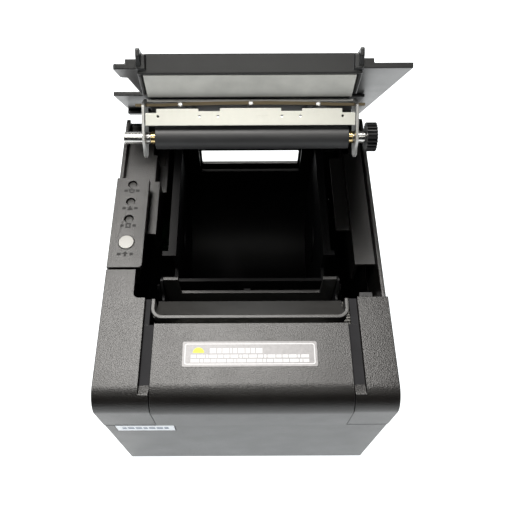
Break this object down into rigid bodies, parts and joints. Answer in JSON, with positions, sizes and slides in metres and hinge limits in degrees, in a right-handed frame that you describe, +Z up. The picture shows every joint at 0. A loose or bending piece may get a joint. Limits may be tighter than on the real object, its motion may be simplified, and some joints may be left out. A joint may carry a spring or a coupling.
{
  "type": "receipt printer",
  "caption": "Box-shaped thermal receipt printer with a hinged rear lid standing open over its paper bay, front cutter cover, side control panel and platen roller under the lid.",
  "frame": {"origin": "centre of the bounding box on the underside of the rubber feet, lid open", "axes": "+Z up, front of the printer towards -Y, the operator's right is +X"},
  "size_m": [0.143, 0.1883, 0.2152],
  "materials": {
    "case_plastic": "fine spark-eroded texture, satin",
    "lid_plastic": "fine spark-eroded texture, satin",
    "inner_black": "smooth moulded black",
    "frame_black": "smooth moulded black",
    "label_silver": "silver film sticker",
    "badge_white": "printed film badge, blank",
    "button_white": "satin key cap",
    "lens_smoke": "clear grey light pipe",
    "board_green": "circuit board",
    "zinc_sheet": "zinc plated sheet",
    "blade_steel": "ground blade steel",
    "shaft_steel": "turned and polished",
    "spring_brass": "phosphor bronze leaf",
    "pinion_brass": "turned brass",
    "roller_rubber": "ground silicone rubber",
    "foot_rubber": "soft foot",
    "head_aluminium": "extruded heat sink, black anodised",
    "head_ceramic": "glazed ceramic with dark coating",
    "motor_metal": "motor can",
    "gear_plastic": "black acetal gear",
    "gear_white": "natural acetal gear",
    "port_metal": "tinned shell",
    "port_black": "connector body"
  },
  "bodies": {
    "case": {"lower_case": "case_plastic", "upper_cover": "case_plastic", "control_panel": "case_plastic", "front_badge": "badge_white", "panel_board": "board_green", "led_power": "lens_smoke", "led_error": "lens_smoke", "led_paper": "lens_smoke", "paper_guide": "frame_black", "paper_bay": "inner_black", "mech_base": "frame_black", "side_plate_left": "zinc_sheet", "side_plate_right": "zinc_sheet", "print_head": "head_ceramic", "head_heatsink": "head_aluminium", "head_spring_left": "shaft_steel", "head_spring_right": "shaft_steel", "head_crossbar": "zinc_sheet", "feed_motor": "motor_metal", "cutter_frame": "zinc_sheet", "cutter_motor": "motor_metal", "logic_board": "board_green", "interface_board": "board_green", "dc_jack": "port_black", "lan_port": "port_metal", "drawer_port": "port_metal", "usb_port": "port_metal", "switch_housing": "port_black", "paper_sensor": "port_black", "lid_switch": "port_black", "foot_1": "foot_rubber", "foot_2": "foot_rubber", "foot_3": "foot_rubber", "foot_4": "foot_rubber", "hinge_pin_left": "shaft_steel", "hinge_pin_right": "shaft_steel"},
    "front_cover": {"cutter_cover": "case_plastic", "top_label": "label_silver"},
    "feed_key": {"feed_button": "button_white"},
    "rocker": {"power_switch": "port_black"},
    "latch": {"latch_bar": "zinc_sheet"},
    "drive": {"drive_gear": "gear_white"},
    "pinion": {"motor_pinion": "gear_white"},
    "blade": {"moving_blade": "blade_steel"},
    "blade_pinion": {"cutter_pinion": "pinion_brass"},
    "lid": {"lid_cover": "lid_plastic", "lid_frame": "frame_black", "platen_bracket": "zinc_sheet", "fixed_blade": "blade_steel", "blade_spring": "spring_brass", "spring_screw_1": "shaft_steel", "spring_screw_2": "shaft_steel", "spring_screw_3": "shaft_steel", "bush_left": "shaft_steel", "bush_right": "shaft_steel"},
    "platen": {"platen_shaft": "shaft_steel", "platen_rubber": "roller_rubber", "platen_gear": "gear_plastic"}
  },
  "joints": [
    {"name": "lid_hinge", "type": "hinge", "parent": "case", "child": "lid", "pos_m": [0, 0.07955, 0.1], "axis": [1, 0, 0], "range_deg": [0, 56.3]},
    {"name": "platen_spin", "type": "hinge", "parent": "lid", "child": "platen", "pos_m": [0.0028, 0.01064, 0.17881], "axis": [1, 0, 0], "continuous": true},
    {"name": "cutter_cover_slide", "type": "slide", "parent": "case", "child": "front_cover", "axis": [0, -1, 0], "range_m": [0, 0.012]},
    {"name": "feed_button_press", "type": "slide", "parent": "case", "child": "feed_key", "axis": [0, 0, -1], "range_m": [0, 0.0008], "stiffness_N_per_m": 700, "springref_m": -0.0006},
    {"name": "power_switch_rock", "type": "hinge", "parent": "case", "child": "rocker", "pos_m": [0.054, 0.08215, 0.019], "axis": [1, 0, 0], "range_deg": [0, 16]},
    {"name": "latch_rock", "type": "hinge", "parent": "case", "child": "latch", "pos_m": [0.002, -0.02325, 0.05], "axis": [1, 0, 0], "range_deg": [-8, 0], "stiffness_Nm_per_rad": 0.3, "springref_deg": 11.46},
    {"name": "drive_gear_spin", "type": "hinge", "parent": "case", "child": "drive", "pos_m": [0.056, -0.03425, 0.07119], "axis": [1, 0, 0], "continuous": true},
    {"name": "motor_pinion_spin", "type": "hinge", "parent": "case", "child": "pinion", "pos_m": [0.056, -0.04325, 0.05919], "axis": [1, 0, 0], "continuous": true},
    {"name": "blade_slide", "type": "slide", "parent": "case", "child": "blade", "axis": [0, 1, 0], "range_m": [0, 0.009]},
    {"name": "cutter_pinion_spin", "type": "hinge", "parent": "case", "child": "blade_pinion", "pos_m": [0.024, -0.06725, 0.1], "axis": [0, 0, 1], "range_deg": [-130, 0]}
  ],
  "couplings": [
    {"joint": "motor_pinion_spin", "follows": "drive_gear_spin", "ratio": -4},
    {"joint": "cutter_pinion_spin", "follows": "blade_slide", "rad_per_m": -250}
  ]
}
